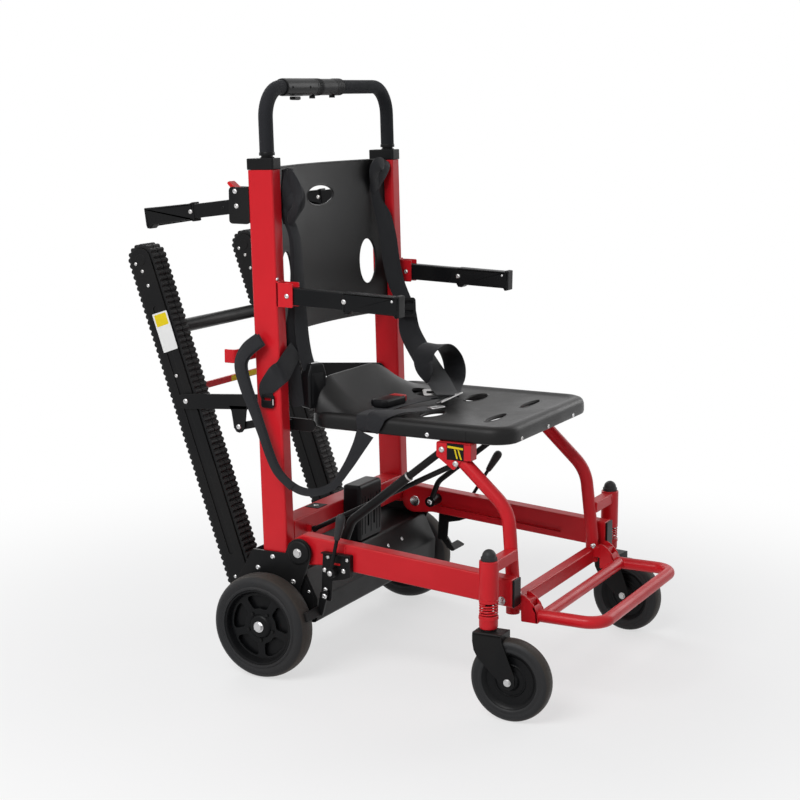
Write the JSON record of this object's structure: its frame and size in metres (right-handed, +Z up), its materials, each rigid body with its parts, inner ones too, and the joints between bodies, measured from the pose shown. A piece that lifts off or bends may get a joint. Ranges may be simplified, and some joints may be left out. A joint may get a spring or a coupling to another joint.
{
  "type": "stair climbing stretcher",
  "caption": "Folding chair-type stair climbing stretcher with powered tracks, sprung casters, telescopic push handle, carry handles and harness.",
  "frame": {"origin": "centre of the bounding box's bottom face, on the floor", "axes": "+Z up, -Y the way the occupant faces, +X towards the occupant's left"},
  "size_m": [0.64, 1.0063, 1.1155],
  "materials": {
    "red_paint": "gloss",
    "red_alloy": "gloss",
    "black_steel": "satin",
    "black_plastic": "matte",
    "drive_cover": "satin",
    "grey_foam": "matte",
    "rubber": "matte",
    "track_profile": "satin",
    "webbing": "woven",
    "zinc": "satin"
  },
  "bodies": {
    "chassis": {"right_post": "red_paint", "left_post": "red_paint", "right_post_cap": "black_plastic", "left_post_cap": "black_plastic", "backrest": "black_plastic", "base_beam": "red_paint", "strap_bracket": "red_paint", "right_side_plate": "black_steel", "left_side_plate": "black_steel", "drive_housing": "drive_cover", "battery_pack": "black_plastic", "rear_axle": "zinc", "right_shoulder_strap": "webbing", "left_shoulder_strap": "webbing", "hanging_strap": "webbing"},
    "push_handle": {"upper_handle": "grey_foam", "control_module": "black_plastic"},
    "drive_switch": {"drive_switch": "black_plastic"},
    "rails": {"right_rail": "red_alloy", "left_rail": "red_alloy", "right_rail_cap": "black_plastic", "left_rail_cap": "black_plastic"},
    "front_frame": {"front_frame": "red_alloy", "right_caster_spring": "red_paint", "left_caster_spring": "red_paint"},
    "footrest": {"footrest": "red_alloy"},
    "seat": {"seat": "black_plastic", "lap_belt": "webbing"},
    "struts": {"right_strut": "black_steel", "left_strut": "black_steel"},
    "gas_tube": {"gas_spring_tube": "black_steel"},
    "gas_rod": {"gas_spring_rod": "black_steel"},
    "tracks": {"track_frame": "track_profile", "track_tie_bar": "red_paint", "right_track_belt": "rubber", "left_track_belt": "rubber"},
    "drive_shaft": {"track_drive_shaft": "zinc"},
    "props": {"right_track_prop": "black_steel", "left_track_prop": "black_steel"},
    "right_rear_wheel": {"right_rear_wheel": "rubber"},
    "right_brake_lever": {"right_brake_lever": "black_steel"},
    "right_brake_shoe": {"right_brake_shoe": "black_steel"},
    "right_caster_stem": {"right_caster_stem": "red_paint"},
    "right_caster_fork": {"right_caster_fork": "black_steel"},
    "right_caster_wheel": {"right_caster_wheel": "rubber"},
    "right_front_handle": {"right_front_handle": "black_plastic"},
    "right_rear_handle": {"right_rear_handle": "black_plastic"},
    "right_handle_latch": {"right_handle_latch": "red_paint"},
    "right_track_idler": {"right_track_idler": "black_plastic"},
    "left_rear_wheel": {"left_rear_wheel": "rubber"},
    "left_brake_lever": {"left_brake_lever": "black_steel"},
    "left_brake_shoe": {"left_brake_shoe": "black_steel"},
    "left_caster_stem": {"left_caster_stem": "red_paint"},
    "left_caster_fork": {"left_caster_fork": "black_steel"},
    "left_caster_wheel": {"left_caster_wheel": "rubber"},
    "left_front_handle": {"left_front_handle": "black_plastic"},
    "left_rear_handle": {"left_rear_handle": "black_plastic"},
    "left_handle_latch": {"left_handle_latch": "red_paint"},
    "left_track_idler": {"left_track_idler": "black_plastic"}
  },
  "joints": [
    {"name": "push_handle_slide", "type": "slide", "parent": "chassis", "child": "push_handle", "axis": [0, 0.0297, 0.9996], "range_m": [0, 0.2]},
    {"name": "drive_switch_press", "type": "slide", "parent": "push_handle", "child": "drive_switch", "axis": [0, 0, 1], "range_m": [0, 0.0006], "stiffness_N_per_m": 1500, "springref_m": -0.002},
    {"name": "rails_fold", "type": "hinge", "parent": "chassis", "child": "rails", "pos_m": [0, 0.09223, 0.238], "axis": [-1, 0, 0], "range_deg": [0, 60]},
    {"name": "front_frame_level", "type": "hinge", "parent": "rails", "child": "front_frame", "pos_m": [0, -0.32077, 0.199], "axis": [-1, 0, 0], "range_deg": [-60, 0]},
    {"name": "seat_fold", "type": "hinge", "parent": "chassis", "child": "seat", "pos_m": [0, 0.09623, 0.472], "axis": [-1, 0, 0], "range_deg": [0, 83]},
    {"name": "strut_swing", "type": "hinge", "parent": "front_frame", "child": "struts", "pos_m": [0, -0.18077, 0.453], "axis": [-1, 0, 0], "range_deg": [0, 60]},
    {"name": "gas_tube_swing", "type": "hinge", "parent": "chassis", "child": "gas_tube", "pos_m": [0, 0.10823, 0.262], "axis": [-1, 0, 0], "range_deg": [0, 47]},
    {"name": "gas_rod_slide", "type": "slide", "parent": "gas_tube", "child": "gas_rod", "axis": [0, -0.8847, 0.4661], "range_m": [0, 0.21]},
    {"name": "footrest_fold", "type": "hinge", "parent": "front_frame", "child": "footrest", "pos_m": [0, -0.35177, 0.186], "axis": [-1, 0, 0], "range_deg": [0, 90]},
    {"name": "track_fold", "type": "hinge", "parent": "chassis", "child": "tracks", "pos_m": [0, 0.23523, 0.095], "axis": [1, 0, 0], "range_deg": [0, 10]},
    {"name": "prop_swing", "type": "hinge", "parent": "chassis", "child": "props", "pos_m": [0, 0.17323, 0.512], "axis": [1, 0, 0], "range_deg": [0, 7]},
    {"name": "drive_shaft_spin", "type": "hinge", "parent": "chassis", "child": "drive_shaft", "pos_m": [0, 0.23523, 0.095], "axis": [1, 0, 0], "continuous": true},
    {"name": "right_rear_wheel_spin", "type": "hinge", "parent": "chassis", "child": "right_rear_wheel", "pos_m": [-0.295, 0.14823, 0.1], "axis": [1, 0, 0], "continuous": true},
    {"name": "right_brake_lever_turn", "type": "hinge", "parent": "rails", "child": "right_brake_lever", "pos_m": [-0.2625, 0.02023, 0.209], "axis": [1, 0, 0], "range_deg": [0, 20]},
    {"name": "right_brake_shoe_turn", "type": "hinge", "parent": "rails", "child": "right_brake_shoe", "pos_m": [-0.2625, 0.03823, 0.16], "axis": [-1, 0, 0], "range_deg": [0, 50]},
    {"name": "right_caster_slide", "type": "slide", "parent": "front_frame", "child": "right_caster_stem", "axis": [0, 0, 1], "range_m": [0, 0.008], "stiffness_N_per_m": 15000, "springref_m": -0.02, "deforming": ["right_caster_spring"]},
    {"name": "right_caster_swivel", "type": "hinge", "parent": "right_caster_stem", "child": "right_caster_fork", "pos_m": [-0.296, -0.31877, 0.163], "axis": [0, 0, 1], "continuous": true},
    {"name": "right_caster_wheel_spin", "type": "hinge", "parent": "right_caster_fork", "child": "right_caster_wheel", "pos_m": [-0.2949, -0.36375, 0.075], "axis": [0.9997, 0.0244, 0], "continuous": true},
    {"name": "right_front_handle_fold", "type": "hinge", "parent": "chassis", "child": "right_front_handle", "pos_m": [-0.238, 0.11823, 0.721], "axis": [-1, 0, 0], "range_deg": [0, 90]},
    {"name": "right_rear_handle_fold", "type": "hinge", "parent": "chassis", "child": "right_rear_handle", "pos_m": [-0.238, 0.22023, 0.883], "axis": [-1, 0, 0], "range_deg": [0, 82]},
    {"name": "right_latch_turn", "type": "hinge", "parent": "chassis", "child": "right_handle_latch", "pos_m": [-0.238, 0.22323, 0.909], "axis": [1, 0, 0], "range_deg": [0, 25], "stiffness_Nm_per_rad": 0.3, "springref_deg": -17.19},
    {"name": "right_idler_spin", "type": "hinge", "parent": "tracks", "child": "right_track_idler", "pos_m": [-0.185, 0.47207, 0.76752], "axis": [1, 0, 0], "continuous": true},
    {"name": "left_rear_wheel_spin", "type": "hinge", "parent": "chassis", "child": "left_rear_wheel", "pos_m": [0.295, 0.14823, 0.1], "axis": [1, 0, 0], "continuous": true},
    {"name": "left_brake_lever_turn", "type": "hinge", "parent": "rails", "child": "left_brake_lever", "pos_m": [0.2625, 0.00223, 0.209], "axis": [1, 0, 0], "range_deg": [-20, 0]},
    {"name": "left_brake_shoe_turn", "type": "hinge", "parent": "rails", "child": "left_brake_shoe", "pos_m": [0.2625, 0.03823, 0.16], "axis": [-1, 0, 0], "range_deg": [-50, 0]},
    {"name": "left_caster_slide", "type": "slide", "parent": "front_frame", "child": "left_caster_stem", "axis": [0, 0, 1], "range_m": [0, 0.008], "stiffness_N_per_m": 15000, "springref_m": -0.02, "deforming": ["left_caster_spring"]},
    {"name": "left_caster_swivel", "type": "hinge", "parent": "left_caster_stem", "child": "left_caster_fork", "pos_m": [0.296, -0.31877, 0.163], "axis": [0, 0, 1], "continuous": true},
    {"name": "left_caster_wheel_spin", "type": "hinge", "parent": "left_caster_fork", "child": "left_caster_wheel", "pos_m": [0.28896, -0.36321, 0.075], "axis": [0.9877, -0.1564, 0], "continuous": true},
    {"name": "left_front_handle_fold", "type": "hinge", "parent": "chassis", "child": "left_front_handle", "pos_m": [0.238, 0.11823, 0.721], "axis": [-1, 0, 0], "range_deg": [0, 90]},
    {"name": "left_rear_handle_fold", "type": "hinge", "parent": "chassis", "child": "left_rear_handle", "pos_m": [0.238, 0.22023, 0.883], "axis": [-1, 0, 0], "range_deg": [0, 82]},
    {"name": "left_latch_turn", "type": "hinge", "parent": "chassis", "child": "left_handle_latch", "pos_m": [0.238, 0.22323, 0.909], "axis": [1, 0, 0], "range_deg": [0, 25], "stiffness_Nm_per_rad": 0.3, "springref_deg": -17.19},
    {"name": "left_idler_spin", "type": "hinge", "parent": "tracks", "child": "left_track_idler", "pos_m": [0.185, 0.47207, 0.76752], "axis": [1, 0, 0], "continuous": true}
  ],
  "couplings": [
    {"joint": "front_frame_level", "follows": "rails_fold", "ratio": -1},
    {"joint": "seat_fold", "follows": "rails_fold", "ratio": 1.38},
    {"joint": "strut_swing", "follows": "rails_fold", "ratio": 1},
    {"joint": "gas_tube_swing", "follows": "rails_fold", "ratio": 0.778},
    {"joint": "gas_rod_slide", "follows": "rails_fold", "m_per_rad": 0.192},
    {"joint": "prop_swing", "follows": "track_fold", "ratio": 0.58},
    {"joint": "right_brake_shoe_turn", "follows": "right_brake_lever_turn", "ratio": 2.5},
    {"joint": "right_idler_spin", "follows": "drive_shaft_spin", "ratio": 1},
    {"joint": "left_brake_shoe_turn", "follows": "left_brake_lever_turn", "ratio": 2.5},
    {"joint": "left_idler_spin", "follows": "drive_shaft_spin", "ratio": 1}
  ]
}
